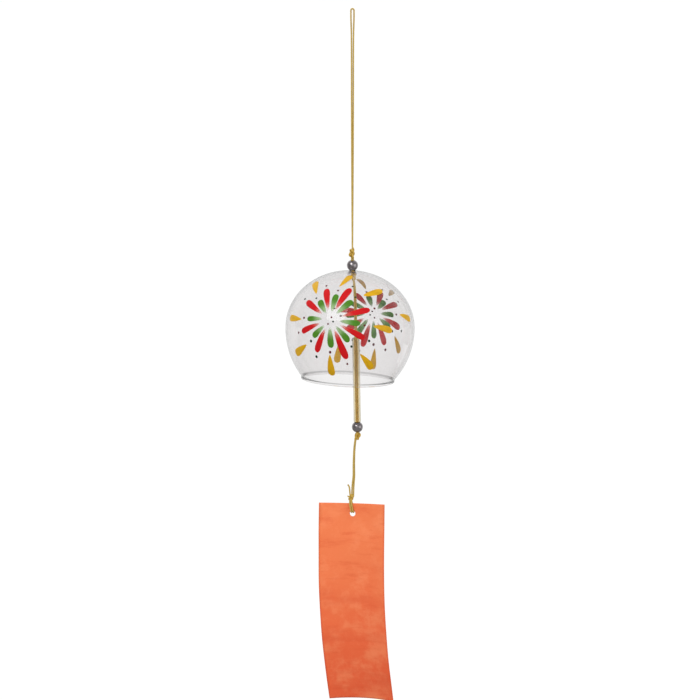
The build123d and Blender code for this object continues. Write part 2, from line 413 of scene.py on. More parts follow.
@dataclass(frozen=True)
class ClearGlass:
    """Clear glass with a slight tint and the faint waves of hand work; the tube's gold tint is
    painted reflection of its cord.
    """

    name: str
    tint: Colour = rgb(0.905, 0.895, 0.895)
    shadow: Colour = rgb(0.975, 0.975, 0.973)
    waves: float = 55.0
    relief: float = 0.06 * MM

    def material(self) -> Finish:
        """The glass's material.

        Returns:
            The material.
        """
        material, graph, surface = shader(self.name)
        wave = graph.noise(graph.own_place(), self.waves, 1.0)
        graph.join(surface, {
            "Base Color": self.tint,
            "Roughness": 0.0,
            "IOR": 1.5,
            "Transmission Weight": 1.0,
            "Normal": graph.bump(0.6, self.relief, wave),
        })
        self.let_light_through(graph, surface)
        return material

    def let_light_through(self, graph: Graph, surface: bpy.types.Node) -> None:
        """Keeps the thin glass from shading what it covers.

        Args:
            graph: the material's graph.
            surface: its Principled node.
        """
        lit = graph.ray("Is Shadow Ray").at_least(graph.ray("Is Diffuse Ray"))
        clear = graph.out("ShaderNodeBsdfTransparent", {"Color": self.shadow})
        both = graph.out("ShaderNodeMixShader", {0: lit, 1: surface.outputs[0], 2: clear})
        output = next(node for node in graph.tree.nodes if node.type == "OUTPUT_MATERIAL")
        graph.join(output, {"Surface": both})


class Pigment(Enum):
    """The enamel colours, each with its full tone and its thinned one."""

    RED = (rgb(0.58, 0.004, 0.007), rgb(0.70, 0.17, 0.14))
    GREEN = (rgb(0.07, 0.22, 0.015), rgb(0.36, 0.52, 0.26))
    YELLOW = (rgb(0.66, 0.36, 0.002), rgb(0.70, 0.44, 0.01))
    WINE = (rgb(0.12, 0.006, 0.012), rgb(0.12, 0.006, 0.012))
    PINE = (rgb(0.012, 0.035, 0.02), rgb(0.012, 0.035, 0.02))


@dataclass(frozen=True)
class Enamel:
    """Brushed enamel paint: full at the tip and thinned at the root."""

    pigment: Pigment
    fading: bool = False
    full_at: float = 0.5
    pooled: float = 0.62
    relief: float = 0.08 * MM

    def material(self) -> Finish:
        """The paint's material, which reads where it is along and across the stroke.

        Returns:
            The material.
        """
        full, thin = self.pigment.value
        material, graph, surface = shader(f"enamel_{self.pigment.name.lower()}")
        along, aside, tone = (graph.carried(name) for name in ("along", "aside", "tone"))
        hairs = graph.noise((along * 1.2, aside * 5.0, tone * 37.0), 1.6, 3.0, 0.6)
        pool = graph.noise((along * 3.0, aside * 1.5, tone * 71.0), 1.0, 2.0)
        body = (along + (hairs - 0.5) * 0.45).ramp(0.12, self.full_at)
        colour = graph.blend(body, thin, full) if self.fading else full
        deeper = rgb(*(part * self.pooled for part in full[:3]))
        graph.join(surface, {
            "Base Color": graph.blend(pool.ramp(0.45, 0.75) * 0.45, colour, deeper),
            "Roughness": hairs * 0.2 + 0.25,
            "Specular IOR Level": 0.16,
            "Coat Weight": 0.06,
            "Normal": graph.bump(0.4, self.relief, hairs),
        })
        if self.fading:
            cover = (along + (hairs - 0.5) * 0.5).ramp(-0.06, 0.34)
            graph.join(surface, {"Alpha": cover})
        return material


@dataclass(frozen=True)
class DyedPaper:
    """Handmade paper dyed orange-red, unevenly, with long fibres in it."""

    top: Colour = rgb(0.86, 0.205, 0.075)
    foot: Colour = rgb(0.83, 0.125, 0.042)
    pale: Colour = rgb(0.93, 0.29, 0.125)
    deep: Colour = rgb(0.70, 0.085, 0.028)
    length: float = 129.0 * MM
    edge_from: float = 19.6 * MM
    edge_to: float = 21.2 * MM
    relief: float = 0.12 * MM

    def material(self) -> Finish:
        """The paper's material, over its own flat map.

        Returns:
            The material.
        """
        material, graph, surface = shader("dyed_paper")
        flat = graph.out("ShaderNodeUVMap", uv_map="flat")
        across, down, _ = graph.parts(flat)
        cloud = graph.noise(flat, 60.0, 6.0, 0.68)
        blot = graph.noise((across + 3.0, down * 0.7, 0.0), 30.0, 4.0, 0.6)
        brush = graph.noise((across * 55.0, down * 260.0, 0.4), 1.0, 4.0, 0.65)
        sweep = graph.noise((across * 9.0, down * 38.0, 2.0), 1.0, 4.0, 0.6)
        fibre = graph.noise((across * 900.0, down * 420.0, 0.0), 1.0, 3.0, 0.7)
        grain = graph.noise(flat, 1500.0, 3.0, 0.7)
        fall = (down / self.length + (blot - 0.5) * 0.9).ramp(0.1, 0.95)
        colour = graph.blend(fall, self.top, self.foot)
        for share, tone in (
            ((cloud * 0.6 + blot * 0.4).ramp(0.46, 0.62) * 0.55, self.pale),
            (sweep.ramp(0.50, 0.70) * 0.45, self.deep),
            (brush.ramp(0.50, 0.72) * 0.32, self.deep),
            (fibre.ramp(0.55, 0.8) * 0.30, self.pale),
            (across.size().ramp(self.edge_from, self.edge_to) * 0.35, self.deep),
        ):
            colour = graph.blend(share, colour, tone)
        relief = fibre * 0.5 + grain * 0.35 + cloud * 0.5
        graph.join(surface, {
            "Base Color": colour,
            "Roughness": grain * 0.15 + 0.78,
            "Specular IOR Level": 0.25,
            "Normal": graph.bump(0.5, self.relief, relief),
        })
        return material


# ------------------------------------------------------------------ mesh tools


def new_object(name: str, data: Any) -> Piece:
    """An object at the origin that holds some data.

    Args:
        name: its name.
        data: its mesh, curve, lamp or camera.

    Returns:
        The object.
    """
    made = bpy.data.objects.new(name, data)
    bpy.context.scene.collection.objects.link(made)
    return made


def points_object(
    name: str, places: Iterable[Sequence[float]], facts: dict[str, Sequence[float]] | None = None
) -> Piece:
    """Loose points, with a number on each for every named fact.

    Args:
        name: the object's name.
        places: where the points are.
        facts: numbers by name, one for each point.

    Returns:
        The object.
    """
    mesh = bpy.data.meshes.new(name)
    mesh.from_pydata([tuple(place) for place in places], [], [])
    for key, numbers in (facts or {}).items():
        mesh.attributes.new(key, "FLOAT", "POINT").data.foreach_set("value", list(numbers))
    return new_object(name, mesh)


def curve_object(name: str, kind: str, places: Route) -> Piece:
    """A curve of one open spline.

    Args:
        name: the object's name.
        kind: NURBS for a smooth line that the places pull at, or POLY for a
            line straight from place to place.
        places: its points.

    Returns:
        The object.
    """
    curve = bpy.data.curves.new(name, "CURVE")
    curve.dimensions = "3D"
    curve.resolution_u = SPLINE_STEPS
    spline = curve.splines.new(kind)
    spline.points.add(len(places) - 1)
    for point, place in zip(spline.points, places):
        point.co = (*place, 1.0)
    if kind == "NURBS":
        spline.order_u = 3
        spline.use_endpoint_u = True
    return new_object(name, curve)


def places_on(holder: Piece) -> list[Vector]:
    """The points that a curve object with no bevel runs through.

    Args:
        holder: the curve object.

    Returns:
        The points, in order.
    """
    bpy.context.view_layer.update()
    graph = bpy.context.evaluated_depsgraph_get()
    mesh = bpy.data.meshes.new_from_object(holder.evaluated_get(graph))
    places = [vertex.co.copy() for vertex in mesh.vertices]
    bpy.data.meshes.remove(mesh)
    return places


def face_out(piece: Piece) -> None:
    """Turns the faces of a closed piece outwards.

    Args:
        piece: the piece, whose mesh is changed.
    """
    work = bmesh.new()
    work.from_mesh(piece.data)
    bmesh.ops.remove_doubles(work, verts=work.verts, dist=WELD)
    bmesh.ops.recalc_face_normals(work, faces=work.faces)
    work.to_mesh(piece.data)
    work.free()
    piece.data.update()


def joined(name: str, pieces: Sequence[Piece]) -> Piece:
    """One piece out of several, under a new name.

    Args:
        name: the new piece's name.
        pieces: the pieces, which are removed.

    Returns:
        The new piece.
    """
    work = bmesh.new()
    for piece in pieces:
        work.from_mesh(piece.data)
    mesh = bpy.data.meshes.new(name)
    for finish in pieces[0].data.materials:
        mesh.materials.append(finish)
    work.to_mesh(mesh)
    work.free()
    for piece in pieces:
        bpy.data.objects.remove(piece)
    return new_object(name, mesh)


def arc_points(
    across: float, up: float, middle: tuple[float, float], start: float, end: float, steps: int
) -> Profile:
    """Points (out, up) on an arc of an ellipse, with its angles in degrees.

    Args:
        across: its half width.
        up: its half height.
        middle: its centre.
        start: the first angle.
        end: the last angle.
        steps: how many steps between them.

    Returns:
        The points.
    """
    turns = (math.radians(start + (end - start) * i / steps) for i in range(steps + 1))
    return [(middle[0] + across * math.cos(a), middle[1] + up * math.sin(a)) for a in turns]


def put(piece: Piece, body: str, slot: str, *nodes: str) -> None:
    """Rides a piece on its body and hides the solids that it replaces.

    Args:
        piece: the finished piece.
        body: the body that it moves with.
        slot: the record's material slot; not used.
        nodes: the solids that it stands for.
    """
    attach(piece, body)
    if nodes:
        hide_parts(*nodes)
    log.info("%s rides on %s", piece.name, body)


# -------------------------------------------------------------- geometry trees


@dataclass(frozen=True)
class Input:
    """One named input of a geometry tree."""

    name: str
    kind: str
    default: Any = None


class FormTree:
    """A geometry node tree with named inputs, and how it is put to use."""

    def __init__(
        self, name: str, inputs: Sequence[Input], build: Callable[[FormTree, Graph], Socket]
    ) -> None:
        """Makes the tree.

        Args:
            name: the tree's name.
            inputs: its inputs after the geometry.
            build: makes the nodes and returns the geometry before its material.
        """
        self.tree = bpy.data.node_groups.new(name, "GeometryNodeTree")
        face = self.tree.interface
        face.new_socket(name="Geometry", in_out="INPUT", socket_type="NodeSocketGeometry")
        self.keys: dict[str, str] = {}
        for item in (*inputs, Input("Finish", "NodeSocketMaterial")):
            socket = face.new_socket(name=item.name, in_out="INPUT", socket_type=item.kind)
            if item.default is not None:
                socket.default_value = item.default
            self.keys[item.name] = socket.identifier
        face.new_socket(name="Geometry", in_out="OUTPUT", socket_type="NodeSocketGeometry")
        graph = Graph(self.tree)
        self.entry = graph.node("NodeGroupInput")
        real = graph.out("GeometryNodeRealizeInstances", {"Geometry": build(self, graph)})
        dressed = graph.out(
            "GeometryNodeSetMaterial", {"Geometry": real, "Material": self.entry.outputs["Finish"]}
        )
        graph.node("NodeGroupOutput", {"Geometry": dressed})

    def given(self, name: str) -> Value:
        """One of the tree's own inputs as a value."""
        return Value(Graph(self.tree), self.entry.outputs[name])

    def shape(self, source: Piece, name: str, **given: Any) -> Piece:
        """Runs the tree on an object and returns the plain mesh that comes out.

        Args:
            source: the object that it starts from, which is removed.
            name: the new piece's name.
            given: the tree's inputs by name, with _ for each space.

        Returns:
            The new piece.
        """
        modifier = source.modifiers.new("form", "NODES")
        modifier.node_group = self.tree
        for key, setting in given.items():
            modifier[self.keys[key.replace("_", " ")]] = setting
        graph = bpy.context.evaluated_depsgraph_get()
        mesh = bpy.data.meshes.new_from_object(source.evaluated_get(graph))
        mesh.name = name
        data = source.data
        bpy.data.objects.remove(source)
        store = bpy.data.meshes if isinstance(data, bpy.types.Mesh) else bpy.data.curves
        store.remove(data)
        return new_object(name, mesh)


def lathe_nodes(form: FormTree, graph: Graph) -> Socket:
    """Turns the profile points (x out, z up) round the Z axis into a closed skin.

    Args:
        form: the tree with its inputs.
        graph: what adds its nodes.

    Returns:
        The skin.
    """
    profile = form.entry.outputs["Geometry"]
    count = graph.value("GeometryNodeAttributeDomainSize", "Point Count", {"Geometry": profile})
    turns = form.given("Sides")
    grid = graph.out("GeometryNodeMeshGrid", {
        "Size X": 1.0, "Size Y": 1.0, "Vertices X": turns + 1, "Vertices Y": count,
    })
    index = graph.value("GeometryNodeInputIndex")
    angle = (index / count).floor() / turns * math.tau
    spot = graph.out(
        "GeometryNodeSampleIndex",
        {
            "Geometry": profile, "Value": graph.out("GeometryNodeInputPosition"),
            "Index": index % count,
        },
        data_type="FLOAT_VECTOR", domain="POINT",
    )
    out, _, up = graph.parts(spot)
    waves = up * form.given("Wave count")
    ripple = graph.noise((angle.cos() * 0.9, angle.sin() * 0.9, waves), 1.3, 1.0)
    out = out * (1 + (ripple - 0.5) * form.given("Wave depth"))
    skin = graph.moved(grid, graph.vector(out * angle.cos(), out * angle.sin(), up))
    sewn = graph.out("GeometryNodeMergeByDistance", {"Geometry": skin, "Distance": SEAM})
    return graph.smooth(sewn)


def thread_nodes(form: FormTree, graph: Graph) -> Socket:
    """Lays a twisted thread of several plies along a curve.

    Args:
        form: the tree with its inputs.
        graph: what adds its nodes.

    Returns:
        The thread.
    """
    even = graph.out(
        "GeometryNodeResampleCurve",
        {"Curve": form.entry.outputs["Geometry"], "Length": form.given("Step")}, mode="LENGTH",
    )
    length = graph.value("GeometryNodeSplineParameter", "Length")
    tilt = length / form.given("Lay") * math.tau
    tilted = graph.out("GeometryNodeSetCurveTilt", {"Curve": even, "Tilt": tilt})
    path = graph.marked(tilted, "run", length)
    ring = graph.out(
        "GeometryNodeCurvePrimitiveCircle",
        {"Resolution": form.given("Sides"), "Radius": form.given("Diameter") / 2}, mode="RADIUS",
    )
    x, y, _ = graph.parts(graph.out("GeometryNodeInputPosition"))
    around = y.angle_over(x)
    dip = (1 - (around * form.given("Plies") / 2).cos().size()) ** 1.5
    shrink = 1 - dip * form.given("Relief")
    lobed = graph.moved(ring, graph.vector(x * shrink, y * shrink, 0.0))
    lobed = graph.marked(graph.marked(lobed, "groove", dip), "around", around)
    tube = graph.out(
        "GeometryNodeCurveToMesh", {"Curve": path, "Profile Curve": lobed, "Fill Caps": True}
    )
    return graph.smooth(tube)


def brush_nodes(form: FormTree, graph: Graph) -> Socket:
    """Lays one domed brush mark on the bell's skin for each point.

    A point carries where the mark's chart is centred (lon, lat), the way that
    the mark runs (turn), and its start, length, width, bend and point, the
    share of its width that is left at its root.

    Args:
        form: the tree with its inputs.
        graph: what adds its nodes.

    Returns:
        The marks.
    """
    blob = graph.out("GeometryNodeMeshUVSphere", {"Segments": 20, "Rings": 18, "Radius": 1.0})
    x, y, z = graph.parts(graph.out("GeometryNodeInputPosition"))
    for name, part in (("along", z * 0.5 + 0.5), ("aside", y), ("rise", x)):
        blob = graph.marked(blob, name, part)
    marks = graph.out(
        "GeometryNodeInstanceOnPoints",
        {"Points": form.entry.outputs["Geometry"], "Instance": blob},
    )
    marks = graph.out("GeometryNodeRealizeInstances", {"Geometry": marks})

    def held(name: str) -> Value:
        """One of the numbers that the marks carry."""
        return graph.value(
            "GeometryNodeInputNamedAttribute", "Attribute", {"Name": name}, data_type="FLOAT"
        )

    along, point = held("along"), held("point")
    lon, lat, turn = held("lon"), held("lat"), held("turn")
    fuller = form.given("Fullness") * (1 + 0.45 * (1 - point) * (2 * along - 1) ** 2)
    taper = point + (1 - point) * along ** 0.8
    ahead = held("start") + held("length") * along
    beside = held("width") / 2 * held("aside") * taper * fuller + held("bend") * along * along
    east = ahead * turn.cos() - beside * turn.sin()
    north = ahead * turn.sin() + beside * turn.cos()
    radius = form.given("Bell radius")
    far = (east * east + north * north).root() / radius + 1e-6
    pull = far.sin() / far / radius
    east, north, stay = east * pull, north * pull, far.cos()
    way_x = stay * lat.cos() * lon.sin() + east * lon.cos() - north * lat.sin() * lon.sin()
    way_y = north * lat.sin() * lon.cos() + east * lon.sin() - stay * lat.cos() * lon.cos()
    way_z = stay * lat.sin() + north * lat.cos()
    crown, skirt = form.given("Crown height"), form.given("Skirt height")
    height = skirt + (crown - skirt) * (way_z > 0.0)
    lift = form.given("Lift") + form.given("Thickness") * (held("rise") * 0.5 + 0.5)
    out_x, out_y, out_z = way_x / radius, way_y / radius, way_z / height
    out = (out_x * out_x + out_y * out_y + out_z * out_z).root()
    place = graph.vector(
        way_x * radius + lift * out_x / out,
        way_y * radius + lift * out_y / out,
        way_z * height + lift * out_z / out - crown,
    )
    return graph.smooth(graph.moved(marks, place))


@dataclass
class Workshop:
    """The geometry trees that every sub-assembly uses."""

    lathe: FormTree = field(default_factory=lambda: FormTree("turned_form", (
        Input("Sides", "NodeSocketInt", 96),
        Input("Wave count", "NodeSocketFloat", 25.0),
        Input("Wave depth", "NodeSocketFloat", 0.0),
    ), lathe_nodes))
    thread: FormTree = field(default_factory=lambda: FormTree("twisted_thread", (
        Input("Diameter", "NodeSocketFloat", 0.001),
        Input("Lay", "NodeSocketFloat", 0.0034),
        Input("Step", "NodeSocketFloat", 0.0002),
        Input("Plies", "NodeSocketInt", 3),
        Input("Relief", "NodeSocketFloat", 0.11),
        Input("Sides", "NodeSocketInt", 18),
    ), thread_nodes))
    brush: FormTree = field(default_factory=lambda: FormTree("brush_marks", (
        Input("Bell radius", "NodeSocketFloat", 0.040),
        Input("Crown height", "NodeSocketFloat", 0.0355),
        Input("Skirt height", "NodeSocketFloat", 0.045),
        Input("Lift", "NodeSocketFloat", 0.00003),
        Input("Thickness", "NodeSocketFloat", 0.00014),
        Input("Fullness", "NodeSocketFloat", 1.22),
    ), brush_nodes))

    def turned(
        self, name: str, profile: Profile, frame: Matrix, finish: Finish, sides: int,
        **waves: float,
    ) -> Piece:
        """A round piece from its closed profile, put in its place.

        Args:
            name: the piece's name.
            profile: points (out, up) round its section.
            frame: where it stands.
            finish: its material.
            sides: how many sides it has round it.
            waves: the lathe's wave inputs.

        Returns:
            The piece.
        """
        closed = [(r, 0.0, z) for r, z in (*profile, profile[0])]
        source = points_object(f"{name}_profile", closed)
        piece = self.lathe.shape(source, name, Sides=sides, Finish=finish, **waves)
        piece.data.transform(frame)
        face_out(piece)
        return piece


# -------------------------------------------------------------- sub-assemblies


@dataclass
class Line:
    """The hanging line's levels and the cord, shared by the sub-assemblies."""

    cord: float = 1.0 * MM
    pair_half: float = 0.54 * MM
    top_knot: float = -146.2 * MM
    neck_head: Place = mm(0, 0, -151.3)
    top_bead: Place = mm(0, 0, -156.57)
    inner_knot: float = -161.45 * MM
    rim: float = -159.8 * MM
    rock: float = -163.65 * MM
    tilt: float = 2.6
    clapper_head: Place = mm(0.6969, 0, -166.47)
    clapper_bend: Place = mm(1.5969, 0, -170.77)
    clapper_lean: float = 0.98
    lower_bead: float = -257.5 * MM
    lower_knot: float = -260.796 * MM
    strip_head: Place = mm(1.9825, 0, -266.0357)
    strip_knot: float = -300.2557 * MM
    strip_knot_x: float = 0.1025 * MM
    strip_knot_height: float = 4.2 * MM
    strip_knot_lean: float = 16.0

    def on_clapper(self, level: float) -> Vector:
        """A place on the clapper's straight line."""
        x, _, z = self.clapper_bend
        return Vector((x + (z - level) * math.tan(math.radians(self.clapper_lean)), 0, level))

    def along_clapper(self, level: float) -> Matrix:
        """The clapper's frame at a level."""
        lean = Matrix.Rotation(math.radians(-self.clapper_lean), 4, "Y")
        return Matrix.Translation(self.on_clapper(level)) @ lean


@dataclass
class Knot:
    """A tight overhand knot in the doubled cord.

    The shape of its middle line is in shares of its height, and its lean, turn
    and twist are in degrees.
    """

    name: str
    body: str
    node: str
    head_x: float
    head: float
    height: float
    lean: float
    turn: float
    strand: float = 0.95 * MM
    spread: float = 0.42 * MM
    step: float = 0.16 * MM
    twist: float = 150.0
    lobe: float = 0.1406
    depth: float = 0.225
    shoulder: Place = (-0.10, -0.20, 0.30)
    end: Place = (0.03, 0.0, 0.53)
    shift: float = -0.03
    half_turn: float = 1.9
    places: int = 10

    def middle_line(self) -> list[Vector]:
        """The knot's centre line in its place, as control points.

        Returns:
            The control points, from the top.
        """
        middle = []
        for i in range(self.places):
            t = self.half_turn * (1 - 2 * i / (self.places - 1))
            middle.append(Vector((
                (math.cos(t) - 2 * math.cos(2 * t)) * self.lobe,
                -math.sin(3 * t) * self.depth,
                (-math.sin(t) - 2 * math.sin(2 * t)) * self.lobe,
            )))
        upper = [Vector(self.end), Vector(self.shoulder)]
        lower = [Vector((p.x, -p.y, -p.z)) for p in reversed(upper)]
        foot_x = self.head_x - self.height * math.tan(math.radians(self.lean))
        frame = (
            Matrix.Translation(((self.head_x + foot_x) / 2, 0, self.head - self.height / 2))
            @ Matrix.Rotation(math.radians(self.lean), 4, "Y")
            @ Matrix.Rotation(math.radians(self.turn), 4, "Z")
            @ Matrix.Translation((self.height * self.shift, 0, 0))
        )
        return [frame @ (p * self.height) for p in upper + middle + lower]

    def build(self, shop: Workshop, finish: Finish) -> None:
        """Makes the knot of two strands side by side and puts it on its body.

        Args:
            shop: the geometry trees.
            finish: the thread's material.
        """
        route = curve_object(f"{self.name}_route", "NURBS", self.middle_line())
        places = places_on(route)
        bpy.data.objects.remove(route)
        side = (places[1] - places[0]).orthogonal().normalized()
        lines: tuple[list[Vector], list[Vector]] = ([], [])
        for i, place in enumerate(places):
            ahead = (places[min(i + 1, len(places) - 1)] - places[max(i - 1, 0)]).normalized()
            side = (side - ahead * side.dot(ahead)).normalized()
            sway = math.radians(self.twist) * i / len(places)
            reach = side * math.cos(sway) + ahead.cross(side) * math.sin(sway)
            lines[0].append(place + reach * self.spread)
            lines[1].append(place - reach * self.spread)
        strands = [
            shop.thread.shape(
                curve_object(f"{self.name}_line_{n}", "POLY", line), f"{self.name}_{n}",
                Diameter=self.strand, Step=self.step, Finish=finish,
            )
            for n, line in enumerate(lines)
        ]
        put(joined(self.name, strands), self.body, "cord", self.node)


@dataclass
class CordWork:
    """Every stretch of the doubled cord between the knots.

    Twists are in degrees, and the strip's route is in millimetres from its head.
    """

    line: Line
    shop: Workshop
    finish: Finish
    loop_half: float = 0.95 * MM
    loop_crest: float = 0.5 * MM
    loop_turn: float = -1.6 * MM
    loop_straight: float = -5.45 * MM
    loop_near: Place = mm(0.53, 0, -17.0)
    loop_middle: Place = mm(0.52, 0.14, -75.0)
    loop_foot_half: float = 0.5 * MM
    into_knot: float = 1.1 * MM
    neck_twist: tuple[float, ...] = (20.0, 10.0, 0.0)
    clapper_twist: tuple[float, ...] = (70.0, 46.0, 22.0, 10.0, 38.0)
    clapper_levels: tuple[float, ...] = (-197.0 * MM, -252.0 * MM)
    strip_route: tuple[tuple[float, float], ...] = (
        (0.0, 0.0), (-0.62, -3.2), (-0.95, -9.2), (-1.12, -16.2),
        (-0.98, -22.8), (-1.62, -27.8), (-1.88, -33.6),
    )
    strip_twist: tuple[float, ...] = (66.0, 64.0, 60.0, 54.0, 42.0, 20.0, 0.0)

    def strand(self, name: str, route: Route) -> tuple[Piece, list[Vector]]:
        """One strand along a route, with the places that it follows.

        Args:
            name: the strand's name.
            route: the control points of its line.

        Returns:
            The strand and the places.
        """
        holder = curve_object(f"{name}_route", "NURBS", route)
        places = places_on(holder)
        piece = self.shop.thread.shape(
            holder, name, Diameter=self.line.cord, Finish=self.finish
        )
        return piece, places

    def declare(self, piece: Piece, places: Sequence[Vector]) -> None:
        """Logs a strand's length along the places that it follows.

        Args:
            piece: the strand.
            places: the places that it follows.
        """
        length = sum((b - a).length for a, b in zip(places, places[1:]))
        tuple(places[0])
        [tuple(p) for p in places]
        log.info("%s is %.4f m", piece.name, length)

    def beside(self, route: Route, twist: Sequence[float], side: int) -> list[Place]:
        """One strand's route, off the pair's middle line.

        Args:
            route: the middle line's control points.
            twist: the angle at each of them.
            side: 1 for one strand and -1 for the other.

        Returns:
            The strand's control points.
        """
        reach = side * self.line.pair_half
        return [
            (x + reach * math.cos(math.radians(a)), y + reach * math.sin(math.radians(a)), z)
            for (x, y, z), a in zip(route, twist)
        ]

    def hanging_loop(self) -> None:
        """The long loop from the top knot over the hook and back."""
        half, crest = self.loop_half, self.loop_crest
        way_down = [
            (half / 2, 0, crest), (half, 0, -crest / 4), (half, 0, self.loop_turn),
            (half, 0, self.loop_straight), self.loop_near, self.loop_middle,
            (0, self.loop_foot_half, self.line.top_knot - self.into_knot),
        ]
        route = [(-x, -y, z) for x, y, z in reversed(way_down)] + way_down
        piece, places = self.strand("hanging_loop", route)
        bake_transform(piece)
        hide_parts("hanging_cord", "cord_bight")
        self.declare(piece, places)

    def neck(self) -> None:
        """The short pair through the upper bead and the hole in the glass."""
        head, foot = self.line.neck_head, (0.0, 0.0, self.line.inner_knot - self.into_knot)
        route = (head, tuple((a + b) / 2 for a, b in zip(head, foot)), foot)
        strands = [
            self.strand(f"neck_{side}", self.beside(route, self.neck_twist, side))[0]
            for side in (-1, 1)
        ]
        put(joined("neck_strands", strands), "neck", "cord", "neck_cord")

    def free_pair(
        self, name: str, body: str, node: str, route: Route, twist: Sequence[float]
    ) -> None:
        """A free doubled stretch, each strand a cord of its own.

        Args:
            name: the start of the strands' names.
            body: the body that they move with.
            node: the solid that they stand for.
            route: the middle line's control points.
            twist: the angle at each of them.
        """
        for side, tag in ((-1, "left"), (1, "right")):
            piece, places = self.strand(f"{name}_{tag}", self.beside(route, twist, side))
            put(piece, body, "cord", node)
            self.declare(piece, places)

    def build(self) -> None:
        """Makes every stretch."""
        line, deep = self.line, self.into_knot
        self.hanging_loop()
        self.neck()
        x, y, z = line.clapper_head
        levels = (*self.clapper_levels, line.lower_knot - deep)
        straight = [tuple(line.on_clapper(level)) for level in levels]
        route = [(x, y, z + deep), line.clapper_bend, *straight]
        self.free_pair("clapper_strand", "clapper", "clapper_cord", route, self.clapper_twist)
        x, y, z = line.strip_head
        route = [(x + dx * MM, y, z + dz * MM) for dx, dz in self.strip_route]
        route[0] = (*route[0][:2], route[0][2] + deep)
        route[-1] = (*route[-1][:2], route[-1][2] - 2 * deep)
        self.free_pair("strip_strand", "strip_line", "strip_cord", route, self.strip_twist)


@dataclass
class Bead:
    """A round metal bead with a softly broken bore edge."""

    name: str
    body: str
    node: str
    frame: Matrix
    radius: float = 3.45 * MM
    bore: float = 1.3 * MM
    edge: float = 0.12 * MM
    steps: int = 72
    edge_steps: int = 5
    sides: int = 96

    def build(self, shop: Workshop, finish: Finish) -> None:
        """Turns the bead and puts it on its body.

        Args:
            shop: the geometry trees.
            finish: the bead's metal.
        """
        brim = self.bore + self.edge
        top = math.degrees(math.acos(brim / self.radius))
        ball = arc_points(self.radius, self.radius, (0, 0), -top, top, self.steps)
        height = self.radius * math.sin(math.radians(top))
        upper = arc_points(
            self.edge, self.edge, (brim, height - self.edge), 90, 180, self.edge_steps
        )
        lower = [(r, -z) for r, z in reversed(upper)]
        profile = [*ball, *upper[1:], *lower[:-1]]
        piece = shop.turned(self.name, profile, self.frame, finish, self.sides)
        put(piece, self.body, "bead_metal", self.node)


@dataclass(frozen=True)
class Mark:
    """One brush mark: angles in degrees, sizes in millimetres."""

    lon: float
    lat: float
    turn: float
    start: float
    length: float
    width: float
    bend: float = 0.0
    point: float = 0.2


@dataclass(frozen=True)
class Burst:
    """A firework burst: long and short petals in turn, and a dot past each tip.

    Angles are in degrees and sizes in millimetres.
    """

    lon: float
    lat: float
    red_turns: tuple[float, ...]
    red_reach: tuple[float, ...]
    green_turns: tuple[float, ...]
    green_reach: tuple[float, ...]
    seed: int
    red_root: float = 7.0
    green_root: float = 5.2
    red_width: float = 4.6
    green_width: float = 4.2
    petal_point: float = 0.22
    dot_gap: float = 2.0
    dot_size: float = 1.55
    dot_round: float = 0.82
    heart_size: float = 1.2
    heart: tuple[tuple[float, float], ...] = ((75.0, 1.2), (-30.0, 1.6), (-110.0, 2.6))

    def petals(self, pigment: Pigment) -> list[Mark]:
        """The petals of one colour.

        Args:
            pigment: red or green.

        Returns:
            A mark for each petal.
        """
        chance = random.Random(self.seed)
        if pigment is Pigment.RED:
            turns, reaches, root, width = (
                self.red_turns, self.red_reach, self.red_root, self.red_width
            )
        else:
            turns, reaches, root, width = (
                self.green_turns, self.green_reach, self.green_root, self.green_width
            )
        return [
            Mark(
                self.lon, self.lat, turn, root, reach - root,
                width * chance.uniform(0.92, 1.08), chance.uniform(-0.7, 0.7), self.petal_point,
            )
            for turn, reach in zip(turns, reaches)
        ]

    def dot(self, turn: float, far: float, size: float) -> Mark:
        """One dot, this far from the heart."""
        return Mark(self.lon, self.lat, turn, far, size, size * self.dot_round, 0.0, 1.0)

    def dots(self, pigment: Pigment) -> list[Mark]:
        """The dots of one colour: every other one of those past the tips and at the heart.

        Args:
            pigment: wine or pine.

        Returns:
            A mark for each dot.
        """
        chance = random.Random(self.seed + 1)
        tips = [*zip(self.red_turns, self.red_reach), *zip(self.green_turns, self.green_reach)]
        marks = []
        for turn, reach in tips:
            size = self.dot_size * chance.uniform(0.85, 1.15)
            far = reach + self.dot_gap + chance.uniform(-0.4, 0.6)
            marks.append(self.dot(turn + chance.uniform(-2, 2), far, size))
        marks += [self.dot(turn, far, self.heart_size) for turn, far in self.heart]
        return marks[0 if pigment is Pigment.WINE else 1::2]


